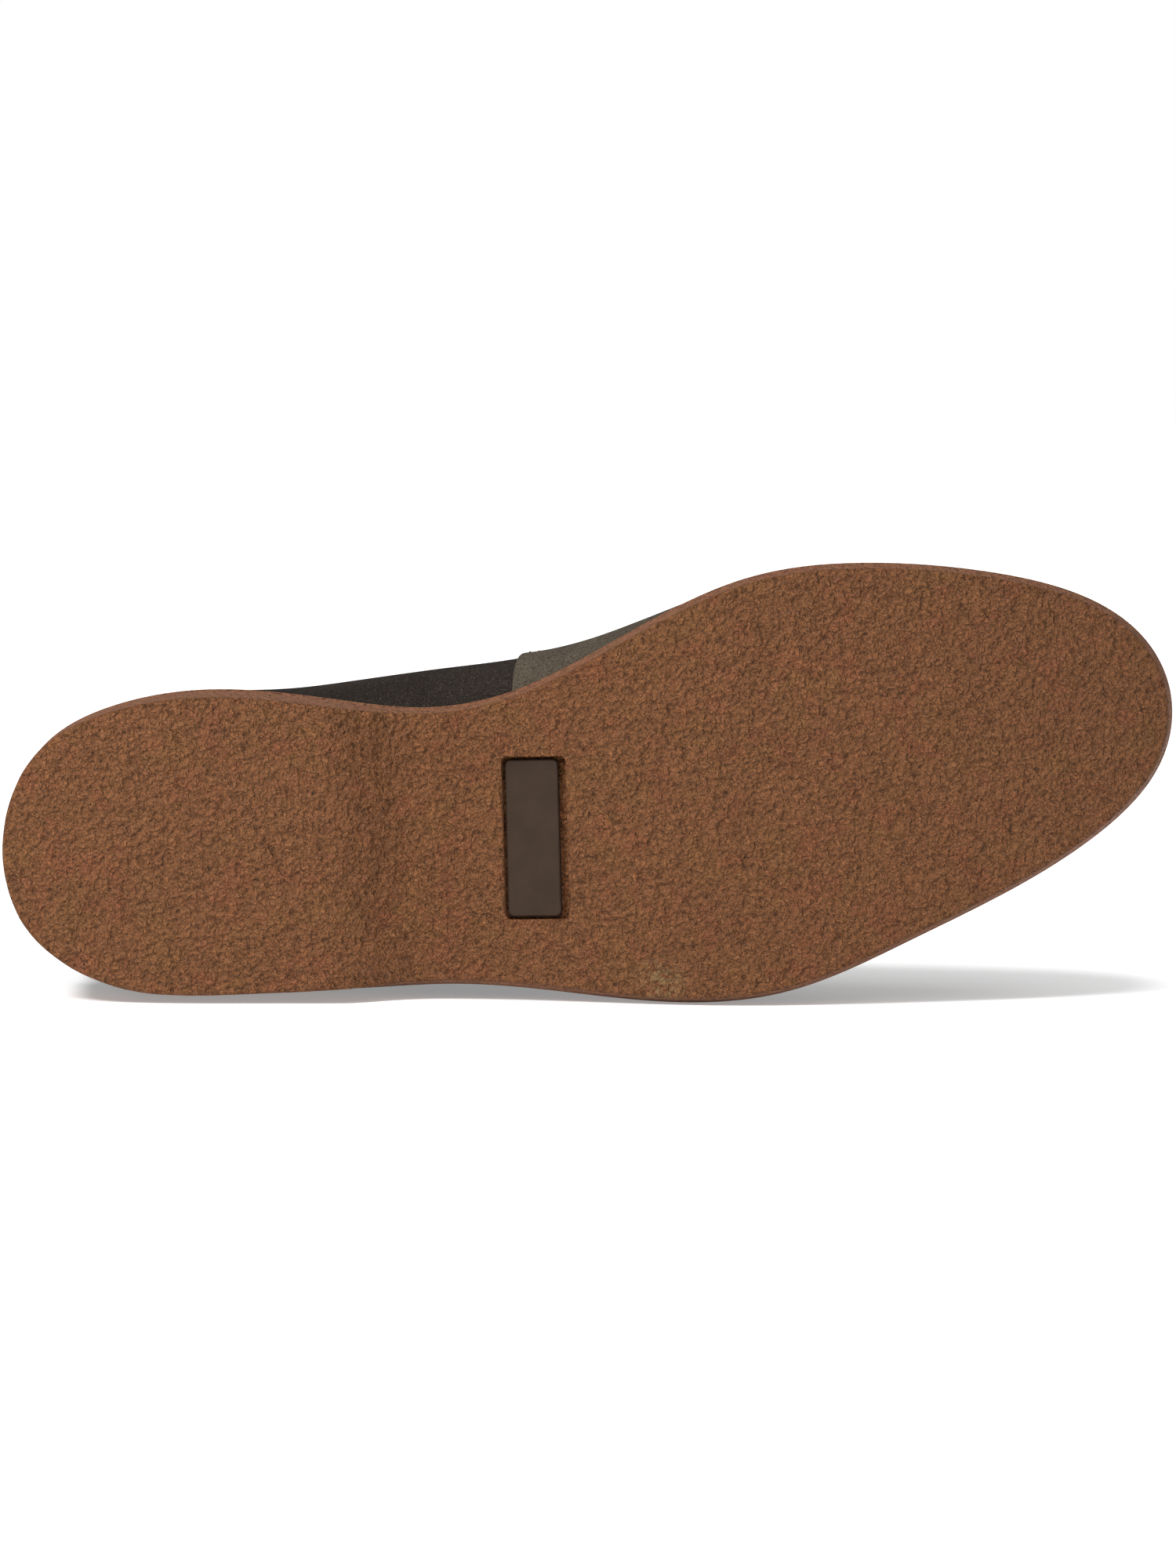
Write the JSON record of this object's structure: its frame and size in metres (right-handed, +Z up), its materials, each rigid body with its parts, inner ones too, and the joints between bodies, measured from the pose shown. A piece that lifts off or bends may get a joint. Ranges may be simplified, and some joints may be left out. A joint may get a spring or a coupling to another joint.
{
  "type": "loafer",
  "caption": "Man's left suede slip-on shoe with a crepe rubber sole, lying on its lateral side with the sole to the front.",
  "frame": {"origin": "on the floor, under the middle of the shoe's bounding box as it lies on its lateral side", "axes": "+X towards the toe, the tread faces -Y, +Z up from the floor, towards the shoe's medial side"},
  "size_m": [0.2994, 0.0846, 0.1122],
  "materials": {
    "crepe_rubber": "moulded crepe texture, matt",
    "plaque_rubber": "smooth, satin",
    "rand_rubber": "smooth, matt",
    "sock_leather": "fine grain, satin",
    "suede": "napped suede, matt"
  },
  "bodies": {
    "root": {"outsole": "crepe_rubber", "badge_plate": "plaque_rubber", "rand": "rand_rubber", "insole": "sock_leather", "upper": "suede"}
  },
  "joints": []
}
